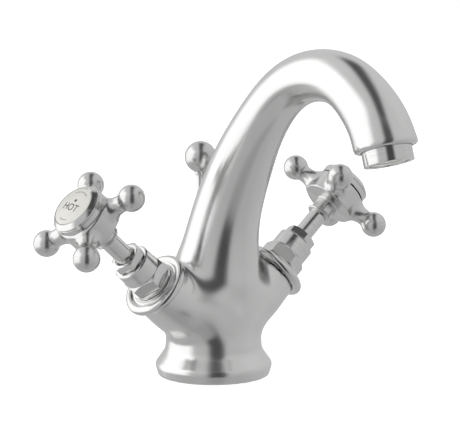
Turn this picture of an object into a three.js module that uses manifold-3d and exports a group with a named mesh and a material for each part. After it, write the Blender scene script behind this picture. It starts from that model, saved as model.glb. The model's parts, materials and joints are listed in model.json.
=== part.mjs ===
// Two-handle monobloc basin mixer: one cast body with a swan-neck spout, a quarter-turn
// ceramic valve with a crosshead handle on each arm, a screwed-in aerator and a pop-up
// waste lift rod behind the spout.
// Millimetres. +Z is up, the origin is the middle of the base on the deck, the spout
// points to -Y, the hot handle is at -X and the cold handle at +X.
import * as THREE from 'three';
import { ParametricGeometry } from 'three/addons/geometries/ParametricGeometry.js';
import { mergeVertices } from 'three/addons/utils/BufferGeometryUtils.js';
import Module from 'manifold-3d';

const wasm = await Module();
wasm.setup();

// ---- driving dimensions -------------------------------------------------------------
const GAP = 0.3;                        // clearance between pieces that touch
const FINE = 24;                        // sides of the widest round faces
const MEDIUM = 18;
const COARSE = 12;

const BASE_RADIUS = 27.5;
const BASE_EDGE_RADIUS = 1.2;           // the lower edge of the foot
const BASE_EDGE_REACH = 26.5;           // that edge stands back a little from the shoulder
const FOOT_SHOULDER_RADIUS = 3;
const FOOT_SHOULDER_HEIGHT = 4.9;
const FOOT_SLOPE = 35;                  // degrees from upright, between shoulder and waist
const WAIST_RADIUS = 22.5;
const WAIST_COVE_RADIUS = 9;

const AXIS_HEIGHT = 15.5;               // where both valve axes meet the body axis
const ARM_RISE = 41.6;                  // degrees above the horizontal
const ARM_SWEEP = 2.5;                  // degrees towards the spout
const ARM_END = 43.6;                   // distances along a valve axis from here on
// Rows of an arm: the distance out, half its height and half its depth front to back.
const ARM_ROWS = [
  [8, 14.2, 20.4],
  [22, 13.2, 17.8],
  [33, 13.3, 14.6],
  [ARM_END - 0.6, 13.3, 13.4],
  [ARM_END, 12.7, 12.7],
];

const OUTLET_TILT = 17.5;               // degrees the outlet leans away from straight down
const WALL = 3;                         // least wall round the waterway in the spout
const WATERWAY_RADIUS = 8.2;
const WATERWAY_START = 0.16;            // shares of the spout's length
const WATERWAY_END = 0.96;
// Spout centreline: x holds the radius of the casting, y and z the place.
const SPOUT = [
  [WAIST_RADIUS, 0, 13],
  [22.3, -0.5, 32],
  [22.0, -1.6, 42],
  [20.9, -3.0, 50],
  [18.9, -4.8, 58.6],
  [15.9, -11.0, 80],
  [14.1, -22.6, 103.1],
  [11.9, -38.5, 124.7],
  [11.3, -63.2, 142.4],
  [11.6, -90.0, 144.1],
  [12.7, -108.5, 133.0],
  [13.6, -117.9, 121.2],
  [13.8, -119.6, 116.5],
];

const BORE_RADIUS = 9.6;                // valve bore in each arm
const BORE_FLOOR = 25.4;
const SEAT_RADIUS = 4.3;
const SEAT_START = 12;
const INLET_X = 10.5;
const INLET_RADIUS = 4.25;
const STUD_Y = -13;
const STUD_RADIUS = 3.4;
const STUD_DEPTH = 13;
const MIXING_RADIUS = 3.2;              // way from each valve up into the spout

const THREAD_RADIUS = 9.2;
const HEX_FLATS = 18.9;                 // across the flats of the headgear hexagon
const HEX_BOTTOM = 50.9;
const HEX_TOP = 57.3;
const SKIRT_RADIUS = 10.4;              // round foot of the headgear under its hexagon
const SKIRT_BOTTOM = 48.9;
const HEADGEAR_BOTTOM = 27;
const BARREL_SEAT = 38.5;
const BONNET_RADIUS = 9.15;
const BONNET_TOP = 65.4;
const NUT_FLATS = 13.8;
const NUT_BOTTOM = 66.1;
const NUT_TOP = 69.7;
const GLAND_RADIUS = 6.4;
const GLAND_SEAT = 60.5;
const STEM_RADIUS = 4.45;
const SQUARE_START = 86;                // the stem is thinner from here, inside the handle
const BARREL_RADIUS = 5.8;
const DISC_RADIUS = 7.5;                // ceramic valve discs

const CROSS = 96.3;                     // middle of the crosshead
const DRUM_RADIUS = 13;                 // the round middle that carries the arms
const DRUM_BOTTOM = CROSS - 5.6;
const COLLAR_START = CROSS - 13.4;
const COLLAR_RADIUS = 5.6;
const ARM_LENGTH = 23.8;                // crosshead middle to ball middle
const BALL_RADIUS = 6.1;
const NECK_RADIUS = 3.9;
const BEZEL_BOTTOM = CROSS + 5.8;
const BEZEL_RADIUS = 12.4;
const INDEX_RADIUS = 9.95;

const ROD_Y = 10;                       // the lift rod stands behind the spout
const ROD_RADIUS = 1.95;
const ROD_BOTTOM = 4.2;
const ROD_TOP = 98.5;
const ROD_LIFT = 25;                    // the clip then meets the guide
const GUIDE_BOTTOM = 56;
const GUIDE_TOP = 67;
const GUIDE_RADIUS = 3.6;
const CLIP_HEIGHT = 0.7;
const ROD_CLIP = GUIDE_BOTTOM - GAP - ROD_LIFT - CLIP_HEIGHT;
const KNOB_HEIGHT = 102.3;
const KNOB_RADIUS = 7.5;

const AERATOR_RADIUS = 10.8;
const AERATOR_END = 6.2;                // how far the aerator stands out of the spout
const POCKET_DEPTH = 8.5;

const SIDES = [
  { name: 'hot', sign: -1, crossTurn: 39.2, hexTurn: 43, nutTurn: 31.5 },
  { name: 'cold', sign: 1, crossTurn: 48.1, hexTurn: 50, nutTurn: 41 },
];

// ---- materials ----------------------------------------------------------------------
const metal = (color, roughness) => () => (
  new THREE.MeshStandardMaterial({ color, roughness, metalness: 1 }));
const plain = (color, roughness) => () => (
  new THREE.MeshStandardMaterial({ color, roughness, metalness: 0 }));
const satinNickel = metal(0xb4b4b1, 0.32);
const polishedNickel = metal(0xc6c6c4, 0.16);
const turnedBrass = metal(0xb89a55, 0.3);
const stainless = metal(0xb0b2b4, 0.28);
const ceramic = plain(0xf2efe4, 0.18);
const alumina = plain(0xe6e6e2, 0.35);
const rubber = plain(0x1c1c1c, 0.7);
const whitePlastic = plain(0xdcdcd6, 0.45);

// ---- solids -------------------------------------------------------------------------
const degrees = THREE.MathUtils.degToRad;
const vector = (x, y, z) => new THREE.Vector3(x, y, z);

/** A solid that can be joined and cut, from a closed geometry. */
function solid(geometry) {
  const bare = geometry.clone();
  bare.deleteAttribute('normal');
  bare.deleteAttribute('uv');
  const merged = mergeVertices(bare, 1e-4);
  const kept = [];
  const { array } = merged.index;
  for (let i = 0; i < array.length; i += 3) {
    const [a, b, c] = array.subarray(i, i + 3);
    if (a !== b && b !== c && c !== a) kept.push(a, b, c);
  }
  return new wasm.Manifold(new wasm.Mesh({
    numProp: 3,
    vertProperties: new Float32Array(merged.attributes.position.array),
    triVerts: new Uint32Array(kept),
  }));
}

/** The geometry of a finished solid. */
function geometryOf(manifold) {
  const mesh = manifold.getMesh();
  const geometry = new THREE.BufferGeometry();
  geometry.setAttribute('position', new THREE.BufferAttribute(mesh.vertProperties, 3));
  geometry.setIndex(new THREE.BufferAttribute(mesh.triVerts, 1));
  geometry.computeVertexNormals();
  return geometry;
}

/** A turned shape about Z from [radius, height] points. */
function turned(profile, sides) {
  const points = profile.map(([r, z]) => new THREE.Vector2(r, z));
  return new THREE.LatheGeometry(points, sides).rotateX(Math.PI / 2);
}

/** A turned shape whose section closes on itself. */
function turnedRing(profile, sides) {
  return turned([...profile, profile[0]], sides);
}

function tube(inner, outer, bottom, top, sides) {
  return turnedRing([[inner, bottom], [outer, bottom], [outer, top], [inner, top]], sides);
}

function rod(radius, bottom, top, sides) {
  return turned([[0, bottom], [radius, bottom], [radius, top], [0, top]], sides);
}

/** Points of an arc about [r, z], from one angle to another in degrees. */
function arc(r, z, radius, from, to, steps) {
  return Array.from({ length: steps + 1 }, (_, i) => {
    const angle = degrees(from + ((to - from) * i) / steps);
    return [r + radius * Math.cos(angle), z + radius * Math.sin(angle)];
  });
}

/** A hexagonal prism about Z with its first corner at the given turn. */
function hexPrism(flats, bottom, top, turn) {
  const corners = Array.from({ length: 6 }, (_, i) => {
    const angle = degrees(turn + 60 * i);
    const reach = flats / Math.sqrt(3);
    return new THREE.Vector2(reach * Math.cos(angle), reach * Math.sin(angle));
  });
  const outline = new THREE.Shape(corners);
  return new THREE.ExtrudeGeometry(outline, { depth: top - bottom, bevelEnabled: false })
    .translate(0, 0, bottom);
}

/** A round bar from one point to another. */
function barBetween(from, to, radius, sides) {
  const along = to.clone().sub(from);
  const turn = new THREE.Quaternion().setFromUnitVectors(
    vector(0, 0, 1), along.clone().normalize());
  return rod(radius, 0, along.length(), sides)
    .applyQuaternion(turn)
    .translate(from.x, from.y, from.z);
}

// ---- frames -------------------------------------------------------------------------
/** Local +Z runs out along the valve axis, local X lies level. */
function valveFrame({ sign }) {
  const rise = degrees(ARM_RISE);
  const sweep = degrees(ARM_SWEEP);
  const out = vector(
    sign * Math.cos(rise) * Math.cos(sweep), -Math.cos(rise) * Math.sin(sweep), Math.sin(rise));
  const level = vector(0, 0, 1).cross(out).normalize();
  const across = out.clone().cross(level);
  return new THREE.Matrix4().makeBasis(level, across, out).setPosition(0, 0, AXIS_HEIGHT);
}

/** Local +Z runs out of the spout, from the middle of its rim. */
function outletFrame() {
  const tilt = degrees(OUTLET_TILT);
  const out = vector(0, -Math.sin(tilt), -Math.cos(tilt));
  const level = vector(1, 0, 0);
  const [, y, z] = SPOUT.at(-1);
  return new THREE.Matrix4().makeBasis(level, out.clone().cross(level), out).setPosition(0, y, z);
}

// ---- body casting -------------------------------------------------------------------
const spoutPath = new THREE.CatmullRomCurve3(SPOUT.map((point) => vector(...point)), false,
  'centripetal');

/** A round tube with closed ends along part of the spout's path. */
function alongSpout(radiusOf, from, to, stations, sides) {
  const rows = stations + 2;
  const place = (u, v, target) => {
    const row = Math.round(v * rows);
    const share = THREE.MathUtils.clamp((row - 1) / stations, 0, 1);
    const at = spoutPath.getPointAt(from + (to - from) * share);
    const tangent = spoutPath.getTangentAt(from + (to - from) * share).setX(0).normalize();
    if (share === 1 && to === 1) {
      tangent.set(0, -Math.sin(degrees(OUTLET_TILT)), -Math.cos(degrees(OUTLET_TILT)));
    }
    const radius = row === 0 || row === rows ? 0 : radiusOf(at.x);
    const side = tangent.clone().cross(vector(1, 0, 0));
    const angle = u * 2 * Math.PI;
    target.set(0, at.y, at.z)
      .addScaledVector(vector(1, 0, 0), radius * Math.cos(angle))
      .addScaledVector(side, radius * Math.sin(angle));
  };
  return new ParametricGeometry(place, sides, rows);
}

function footGeometry() {
  const slope = degrees(FOOT_SLOPE);
  const shoulder = arc(BASE_RADIUS - FOOT_SHOULDER_RADIUS, FOOT_SHOULDER_HEIGHT,
    FOOT_SHOULDER_RADIUS, -12, FOOT_SLOPE, 4);
  const [shoulderR, shoulderZ] = shoulder.at(-1);
  const coveR = WAIST_RADIUS + WAIST_COVE_RADIUS * (1 - Math.cos(slope));
  const coveZ = shoulderZ + (shoulderR - coveR) / Math.tan(slope);
  const waistZ = coveZ + WAIST_COVE_RADIUS * Math.sin(slope);
  return turned([
    [0, 0],
    ...arc(BASE_EDGE_REACH - BASE_EDGE_RADIUS, BASE_EDGE_RADIUS, BASE_EDGE_RADIUS,
      -90, -12, 2),
    ...shoulder,
    ...arc(WAIST_RADIUS + WAIST_COVE_RADIUS, waistZ, WAIST_COVE_RADIUS,
      180 + FOOT_SLOPE, 180, 4),
    [WAIST_RADIUS - GAP, waistZ + 5],
    [0, waistZ + 5],
  ], FINE);
}

/** An arm of the casting, oval where it leaves the body and round at its end. */
function bodyArmGeometry() {
  const rows = [[ARM_ROWS[0][0], 0, 0], ...ARM_ROWS, [ARM_END, 0, 0]];
  const place = (u, v, target) => {
    const [out, height, depth] = rows[Math.round(v * (rows.length - 1))];
    const angle = u * 2 * Math.PI;
    target.set(depth * Math.cos(angle), height * Math.sin(angle), out);
  };
  return new ParametricGeometry(place, FINE, rows.length - 1);
}

function valveBoreGeometry() {
  return turned([
    [0, SEAT_START],
    [SEAT_RADIUS, SEAT_START],
    [SEAT_RADIUS, BORE_FLOOR],
    [BORE_RADIUS, BORE_FLOOR],
    [BORE_RADIUS, ARM_END + 1],
    [0, ARM_END + 1],
  ], MEDIUM);
}

function bodyCasting() {
  const outlet = outletFrame();
  const spout = solid(alongSpout((r) => r, 0, 1, 22, FINE));
  const waterway = solid(alongSpout((r) => Math.min(r - WALL, WATERWAY_RADIUS),
    WATERWAY_START, WATERWAY_END, 12, 10));
  const pocket = solid(rod(AERATOR_RADIUS + GAP, -POCKET_DEPTH, 1, MEDIUM).applyMatrix4(outlet));
  const rodWay = solid(rod(GUIDE_RADIUS + GAP, -1, GUIDE_TOP + 14, COARSE).translate(0, ROD_Y, 0));
  const studHole = solid(rod(STUD_RADIUS, -1, STUD_DEPTH, COARSE).translate(0, STUD_Y, 0));
  let body = solid(footGeometry()).add(spout);
  let holes = waterway.add(pocket).add(rodWay).add(studHole).add(gasketGroove());
  SIDES.forEach((side) => {
    const frame = valveFrame(side);
    const inlet = rod(INLET_RADIUS, -1, AXIS_HEIGHT + 10, COARSE)
      .translate(side.sign * INLET_X, 0, 0);
    const mixing = barBetween(
      vector(side.sign * 19, -1, 43.8), vector(0, -3.3, 50), MIXING_RADIUS, COARSE);
    body = body.add(solid(bodyArmGeometry().applyMatrix4(frame)));
    holes = holes.add(solid(valveBoreGeometry().applyMatrix4(frame)));
    holes = holes.add(solid(inlet)).add(solid(mixing));
  });
  return geometryOf(body.subtract(holes));
}

// ---- gasket, guide, rod and knob ----------------------------------------------------
const GASKET = { inner: 20.4, outer: 24, thickness: 1.7 };

function gasketGroove() {
  return solid(tube(GASKET.inner - GAP, GASKET.outer + GAP, -1, GASKET.thickness + GAP, FINE));
}

function baseGasket() {
  return tube(GASKET.inner, GASKET.outer, 0, GASKET.thickness, FINE);
}

function rodGuide() {
  return turnedRing([
    [ROD_RADIUS + GAP, GUIDE_BOTTOM],
    [GUIDE_RADIUS, GUIDE_BOTTOM],
    [GUIDE_RADIUS, GUIDE_TOP - 0.8],
    [GUIDE_RADIUS - 0.8, GUIDE_TOP],
    [ROD_RADIUS + GAP, GUIDE_TOP],
  ], COARSE).translate(0, ROD_Y, 0);
}

function liftRod() {
  const collar = GUIDE_TOP + GAP;
  return turned([
    [0, ROD_BOTTOM],
    [ROD_RADIUS - 0.5, ROD_BOTTOM],
    [ROD_RADIUS, ROD_BOTTOM + 0.5],
    [ROD_RADIUS, ROD_CLIP - 0.2],
    [ROD_RADIUS - 0.6, ROD_CLIP - 0.2],
    [ROD_RADIUS - 0.6, ROD_CLIP + CLIP_HEIGHT + 0.2],
    [ROD_RADIUS, ROD_CLIP + CLIP_HEIGHT + 0.2],
    [ROD_RADIUS, collar],
    [ROD_RADIUS + 1, collar],
    [ROD_RADIUS + 1, collar + 1],
    [ROD_RADIUS, collar + 1.4],
    [ROD_RADIUS, ROD_TOP],
    [0, ROD_TOP],
  ], COARSE).translate(0, ROD_Y, 0);
}

function rodClip() {
  const ring = solid(tube(ROD_RADIUS - 0.3, GUIDE_RADIUS - GAP, ROD_CLIP,
    ROD_CLIP + CLIP_HEIGHT, COARSE));
  const mouth = solid(new THREE.BoxGeometry(2.4, 6, 4).translate(0, 3, ROD_CLIP));
  return geometryOf(ring.subtract(mouth)).translate(0, ROD_Y, 0);
}

function liftKnob() {
  const neck = 2.9;
  const start = -THREE.MathUtils.radToDeg(Math.acos(neck / KNOB_RADIUS));
  return turnedRing([
    [ROD_RADIUS + GAP, KNOB_HEIGHT - KNOB_RADIUS - 1.1],
    [neck - 0.4, KNOB_HEIGHT - KNOB_RADIUS - 1.1],
    [neck, KNOB_HEIGHT - KNOB_RADIUS - 0.7],
    ...arc(0, KNOB_HEIGHT, KNOB_RADIUS, start, 90, 7).slice(0, -1),
    [0, KNOB_HEIGHT + KNOB_RADIUS],
    [0, ROD_TOP + GAP],
    [ROD_RADIUS + GAP, ROD_TOP + GAP],
  ], MEDIUM).translate(0, ROD_Y, 0);
}

// ---- aerator, in the outlet's frame -------------------------------------------------
function aeratorHousing() {
  const bore = AERATOR_RADIUS - 1.5;
  return turnedRing([
    [bore, 2 - POCKET_DEPTH],
    [AERATOR_RADIUS, 2 - POCKET_DEPTH],
    [AERATOR_RADIUS, AERATOR_END - 0.4],
    [AERATOR_RADIUS - 0.4, AERATOR_END],
    [bore - 0.8, AERATOR_END],
    [bore - 0.8, AERATOR_END - 1.4],
    [bore, AERATOR_END - 1.4],
  ], MEDIUM);
}

function aeratorInsert() {
  const radius = AERATOR_RADIUS - 1.5 - GAP;
  const floor = AERATOR_END - 1.4 - GAP;
  const holeRadius = 1.5;
  let cup = solid(turned([
    [0, floor - 2],
    [radius - 1.2, floor - 2],
    [radius - 1.2, floor - 7],
    [radius, floor - 7],
    [radius, floor],
    [0, floor],
  ], MEDIUM));
  const spots = [[0, 1], [3.4, 5], [6.4, 9]];
  spots.forEach(([reach, count]) => {
    for (let i = 0; i < count; i += 1) {
      const angle = (2 * Math.PI * i) / count;
      const hole = rod(holeRadius - reach * 0.04, floor - 3, floor + 1, 6)
        .translate(reach * Math.cos(angle), reach * Math.sin(angle), 0);
      cup = cup.subtract(solid(hole));
    }
  });
  return geometryOf(cup);
}

function aeratorWasher() {
  return tube(7.6, AERATOR_RADIUS - 0.1, GAP - POCKET_DEPTH, 1.7 - POCKET_DEPTH, MEDIUM);
}

// ---- valve pieces, in a valve's frame -----------------------------------------------
function valveFlange() {
  const beadR = 14.1;
  const beadT = 46.25;
  const bead = 2.3;
  return turnedRing([
    [THREAD_RADIUS + 0.5, 45.2],
    [12.9, 45.2],
    [12.9, ARM_END + GAP],
    ...arc(beadR, beadT, bead, -90, 142, 5),
    [11.2, 47.2],
    [10.7, 48.6],
    [THREAD_RADIUS + 0.5, 48.6],
  ], FINE);
}

function flangeWasher() {
  return tube(THREAD_RADIUS + 0.7, 12.5, ARM_END + 0.2, 44.9, MEDIUM);
}

function headgear(side) {
  const chamber = DISC_RADIUS + 0.4;
  const barrel = BARREL_RADIUS + GAP;
  const shell = solid(turnedRing([
    [chamber, HEADGEAR_BOTTOM],
    [THREAD_RADIUS, HEADGEAR_BOTTOM],
    [THREAD_RADIUS, SKIRT_BOTTOM],
    [SKIRT_RADIUS, SKIRT_BOTTOM],
    [SKIRT_RADIUS, HEX_BOTTOM - 0.3],
    [BONNET_RADIUS, HEX_BOTTOM + 0.3],
    [BONNET_RADIUS, BONNET_TOP - 0.7],
    [BONNET_RADIUS - 0.7, BONNET_TOP],
    [GLAND_RADIUS + GAP, BONNET_TOP],
    [GLAND_RADIUS + GAP, GLAND_SEAT],
    [barrel, GLAND_SEAT],
    [barrel, BARREL_SEAT],
    [chamber, BARREL_SEAT],
  ], MEDIUM));
  const reach = HEX_FLATS / Math.sqrt(3);
  const cone = turned([
    [0, HEX_BOTTOM - 1],
    [reach + 1, HEX_BOTTOM - 1],
    [reach + 1, HEX_TOP - 2.6],
    [BONNET_RADIUS, HEX_TOP],
    [0, HEX_TOP],
  ], MEDIUM);
  const hollow = rod(BONNET_RADIUS - 0.5, HEX_BOTTOM - 2, HEX_TOP + 2, MEDIUM);
  const hexagon = solid(hexPrism(HEX_FLATS, HEX_BOTTOM, HEX_TOP, side.hexTurn))
    .intersect(solid(cone))
    .subtract(solid(hollow));
  const window = solid(new THREE.BoxGeometry(6, 30, 3.4).translate(0, 0, 36.2));
  return geometryOf(shell.add(hexagon).subtract(window));
}

function glandNut(side) {
  const reach = NUT_FLATS / Math.sqrt(3);
  const cone = turned([
    [0, NUT_BOTTOM - 1],
    [reach + 1, NUT_BOTTOM - 1],
    [reach + 1, NUT_TOP - 1.1],
    [reach - 1.1, NUT_TOP],
    [0, NUT_TOP],
  ], MEDIUM);
  const head = solid(hexPrism(NUT_FLATS, NUT_BOTTOM, NUT_TOP, side.nutTurn))
    .intersect(solid(cone));
  const spigot = solid(rod(GLAND_RADIUS, GLAND_SEAT + GAP, NUT_BOTTOM + 1, COARSE));
  const bore = solid(turned([
    [0, GLAND_SEAT - 1],
    [STEM_RADIUS + GAP, GLAND_SEAT - 1],
    [STEM_RADIUS + GAP, NUT_TOP - 0.8],
    [STEM_RADIUS + 1.1, NUT_TOP],
    [STEM_RADIUS + 1.1, NUT_TOP + 1],
    [0, NUT_TOP + 1],
  ], COARSE));
  return geometryOf(head.add(spigot).subtract(bore));
}

const O_RING_PLACES = { lower: 45, upper: 52 };
const O_RING = { radius: 5.15, section: 0.7 };

function stemSeal(place) {
  return turnedRing(arc(O_RING.radius, place, O_RING.section, 0, 288, 4), COARSE);
}

function glandPacking() {
  return tube(STEM_RADIUS + GAP, BARREL_RADIUS, GLAND_SEAT - 1.8, GLAND_SEAT, COARSE);
}

function spindle() {
  const grooves = Object.values(O_RING_PLACES).flatMap((place) => [
    [BARREL_RADIUS, place - 1.1],
    [O_RING.radius - O_RING.section - 0.2, place - 1.1],
    [O_RING.radius - O_RING.section - 0.2, place + 1.1],
    [BARREL_RADIUS, place + 1.1],
  ]);
  const turnedPart = solid(turned([
    [0, BARREL_SEAT - 0.5],
    [BARREL_RADIUS, BARREL_SEAT - 0.5],
    ...grooves,
    [BARREL_RADIUS, GLAND_SEAT - 2.1],
    [STEM_RADIUS, GLAND_SEAT - 2.1],
    [STEM_RADIUS, SQUARE_START - 0.5],
    [STEM_RADIUS - 0.9, SQUARE_START],
    [STEM_RADIUS - 0.9, CROSS],
    [0, CROSS],
  ], COARSE));
  const tongue = solid(new THREE.BoxGeometry(2.6, 9.6, 6).translate(0, 0, 35.8));
  const screwHole = solid(rod(2, CROSS - 8, CROSS + 1, COARSE));
  return geometryOf(turnedPart.add(tongue).subtract(screwHole));
}

/** A ceramic disc with two opposite sector ports, the first centred on the given turn. */
function portedDisc(bottom, top, turn) {
  const ports = [0, 180].map((opposite) => {
    const port = new THREE.Shape();
    const from = degrees(turn + opposite - 34);
    const to = degrees(turn + opposite + 34);
    port.absarc(0, 0, 6.2, from, to, false);
    port.absarc(0, 0, 2.4, to, from, true);
    return solid(new THREE.ExtrudeGeometry(port,
      { depth: top - bottom + 2, bevelEnabled: false, curveSegments: 4 })
      .translate(0, 0, bottom - 1));
  });
  return solid(rod(DISC_RADIUS, bottom, top, MEDIUM)).subtract(ports[0]).subtract(ports[1]);
}

function movingDisc() {
  const slot = solid(new THREE.BoxGeometry(3.2, 10.4, 2.4).translate(0, 0, 33.7));
  return geometryOf(portedDisc(31.3, 33.6, 0).subtract(slot));
}

function fixedDisc() {
  return geometryOf(portedDisc(28.7, 31, 90));
}

function seatSeal() {
  return tube(SEAT_RADIUS + 0.4, DISC_RADIUS, BORE_FLOOR + GAP, 28.4, MEDIUM);
}

// ---- handle pieces, in a valve's frame ----------------------------------------------
function crossArm() {
  const start = -THREE.MathUtils.radToDeg(Math.acos(NECK_RADIUS / BALL_RADIUS));
  return turned([
    [0, 10],
    [5.5, 10],
    [5.4, 12.4],
    [4.4, 15],
    ...arc(0, ARM_LENGTH, BALL_RADIUS, start, 90, 6).slice(0, -1),
    [0, ARM_LENGTH + BALL_RADIUS],
  ], COARSE);
}

function handleCross() {
  let cross = solid(turned([
    [0, COLLAR_START],
    [COLLAR_RADIUS + 0.3, COLLAR_START],
    [COLLAR_RADIUS + 0.8, COLLAR_START + 0.5],
    [COLLAR_RADIUS + 0.8, COLLAR_START + 1.1],
    [COLLAR_RADIUS, COLLAR_START + 1.6],
    [COLLAR_RADIUS, DRUM_BOTTOM],
    [DRUM_RADIUS - 0.6, DRUM_BOTTOM],
    [DRUM_RADIUS, DRUM_BOTTOM + 0.6],
    [DRUM_RADIUS, BEZEL_BOTTOM - 1.3],
    [DRUM_RADIUS - 1, BEZEL_BOTTOM - GAP],
    [9, BEZEL_BOTTOM - GAP],
    [9, CROSS + 8.4],
    [0, CROSS + 8.4],
  ], MEDIUM));
  [0, 90, 180, 270].forEach((turn) => {
    const arm = crossArm().rotateY(Math.PI / 2).rotateZ(degrees(turn)).translate(0, 0, CROSS);
    cross = cross.add(solid(arm));
  });
  const spindleHole = turned([
    [0, COLLAR_START - 1],
    [STEM_RADIUS + GAP, COLLAR_START - 1],
    [STEM_RADIUS + GAP, SQUARE_START],
    [STEM_RADIUS - 0.6, SQUARE_START + 0.4],
    [STEM_RADIUS - 0.6, CROSS + GAP],
    [0, CROSS + GAP],
  ], COARSE);
  const screwHole = turned([
    [0, CROSS - 1],
    [2.1, CROSS - 1],
    [2.1, CROSS + 3.2],
    [5, CROSS + 3.2],
    [5, CROSS + 9],
    [0, CROSS + 9],
  ], COARSE);
  return geometryOf(cross.subtract(solid(spindleHole)).subtract(solid(screwHole)));
}

function handleScrew() {
  const screw = solid(turned([
    [0, CROSS - 7],
    [1.7, CROSS - 7],
    [1.7, CROSS + 3.5],
    [3.8, CROSS + 3.5],
    [3.8, CROSS + 5.3],
    [3, CROSS + 6],
    [0, CROSS + 6],
  ], COARSE));
  const slot = solid(new THREE.BoxGeometry(9, 0.9, 2).translate(0, 0, CROSS + 6));
  return geometryOf(screw.subtract(slot));
}

function indexBezel() {
  return turned([
    [0, BEZEL_BOTTOM + 2.9],
    [9.3, BEZEL_BOTTOM + 2.9],
    [9.3, BEZEL_BOTTOM],
    [BEZEL_RADIUS - 0.3, BEZEL_BOTTOM],
    [BEZEL_RADIUS, BEZEL_BOTTOM + 0.4],
    [BEZEL_RADIUS, BEZEL_BOTTOM + 3.2],
    [BEZEL_RADIUS - 0.3, BEZEL_BOTTOM + 3.8],
    [INDEX_RADIUS + 1, BEZEL_BOTTOM + 5.4],
    [INDEX_RADIUS + GAP, BEZEL_BOTTOM + 5.5],
    [INDEX_RADIUS + GAP, BEZEL_BOTTOM + 3.9],
    [0, BEZEL_BOTTOM + 3.9],
  ], MEDIUM);
}

function indexDisc() {
  return turned([
    [0, BEZEL_BOTTOM + 4.2],
    [INDEX_RADIUS, BEZEL_BOTTOM + 4.2],
    [INDEX_RADIUS, BEZEL_BOTTOM + 5.4],
    [INDEX_RADIUS * 0.6, BEZEL_BOTTOM + 5.9],
    [0, BEZEL_BOTTOM + 6.1],
  ], MEDIUM);
}

// ---- assembly -----------------------------------------------------------------------
function add(group, name, geometry, material) {
  const mesh = new THREE.Mesh(geometry, material());
  mesh.name = name;
  group.add(mesh);
}

function placed(matrix) {
  const group = new THREE.Group();
  group.applyMatrix4(matrix);
  return group;
}

function addAerator(parent) {
  const group = placed(outletFrame());
  add(group, 'aerator_housing', aeratorHousing(), polishedNickel);
  add(group, 'aerator_insert', aeratorInsert(), whitePlastic);
  add(group, 'aerator_washer', aeratorWasher(), rubber);
  parent.add(group);
}

function addValve(parent, side) {
  const group = placed(valveFrame(side));
  const still = (name, geometry, material) => add(group, `${side.name}_${name}`, geometry,
    material);
  still('valve_flange', valveFlange(), satinNickel);
  still('flange_washer', flangeWasher(), rubber);
  still('headgear', headgear(side), polishedNickel);
  still('gland_nut', glandNut(side), polishedNickel);
  still('gland_packing', glandPacking(), whitePlastic);
  still('fixed_disc', fixedDisc(), alumina);
  still('seat_seal', seatSeal(), rubber);
  const handle = new THREE.Group();
  handle.rotation.z = degrees(side.crossTurn);
  const moving = (name, geometry, material) => add(handle, `${side.name}_${name}`, geometry,
    material);
  moving('moving_disc', movingDisc(), alumina);
  moving('spindle', spindle(), polishedNickel);
  Object.entries(O_RING_PLACES).forEach(([where, place]) => {
    moving(`stem_seal_${where}`, stemSeal(place), rubber);
  });
  moving('handle_cross', handleCross(), satinNickel);
  moving('handle_screw', handleScrew(), stainless);
  moving('index_bezel', indexBezel(), polishedNickel);
  moving('index_disc', indexDisc(), ceramic);
  group.add(handle);
  parent.add(group);
}

const mixer = new THREE.Group();
add(mixer, 'body_casting', bodyCasting(), satinNickel);
add(mixer, 'base_gasket', baseGasket(), rubber);
add(mixer, 'rod_guide', rodGuide(), turnedBrass);
add(mixer, 'lift_rod', liftRod(), polishedNickel);
add(mixer, 'rod_clip', rodClip(), stainless);
add(mixer, 'lift_knob', liftKnob(), polishedNickel);
addAerator(mixer);
SIDES.forEach((side) => addValve(mixer, side));

export default mixer;
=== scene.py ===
"""Looks of the basin mixer faucet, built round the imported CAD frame."""
import json
import math

import bpy
import numpy as np
from mathutils import Matrix, Vector


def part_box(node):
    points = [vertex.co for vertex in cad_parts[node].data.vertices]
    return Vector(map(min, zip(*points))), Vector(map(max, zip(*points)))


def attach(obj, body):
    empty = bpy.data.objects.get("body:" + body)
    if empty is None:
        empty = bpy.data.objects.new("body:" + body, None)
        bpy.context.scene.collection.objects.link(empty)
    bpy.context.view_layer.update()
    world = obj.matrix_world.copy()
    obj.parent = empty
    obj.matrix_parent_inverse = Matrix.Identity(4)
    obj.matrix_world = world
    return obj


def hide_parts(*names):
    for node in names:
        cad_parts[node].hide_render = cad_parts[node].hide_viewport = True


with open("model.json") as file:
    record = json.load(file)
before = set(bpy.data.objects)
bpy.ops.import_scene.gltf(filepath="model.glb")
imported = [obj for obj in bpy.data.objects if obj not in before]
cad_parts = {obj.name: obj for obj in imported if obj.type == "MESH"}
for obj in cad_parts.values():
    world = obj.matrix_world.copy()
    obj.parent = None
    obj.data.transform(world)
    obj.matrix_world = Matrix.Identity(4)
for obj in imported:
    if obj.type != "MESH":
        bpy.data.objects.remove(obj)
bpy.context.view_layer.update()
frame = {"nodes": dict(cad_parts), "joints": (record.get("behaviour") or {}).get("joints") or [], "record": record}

# ---- dimensions in millimetres and degrees --------------------------------------------
# They are those of the part's source, but arms and spout have softer sections here.
MM = 0.001
GAP = 0.3                       # clearance between pieces that touch

BASE_RADIUS = 27.5
BASE_EDGE_RADIUS = 1.2
BASE_EDGE_REACH = 26.5          # the lower edge stands back a little from the shoulder
BASE_SIDE_SLOPE = 12.0          # between that edge and the shoulder, from upright
FOOT_SHOULDER_RADIUS = 3.0
FOOT_SHOULDER_HEIGHT = 4.9
FOOT_SLOPE = 35.0               # from upright, between the shoulder and the waist
WAIST_RADIUS = 22.5
WAIST_COVE_RADIUS = 9.0
WAIST_TUCK = 3.0                # how far the foot's outline goes on inside the column

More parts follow.
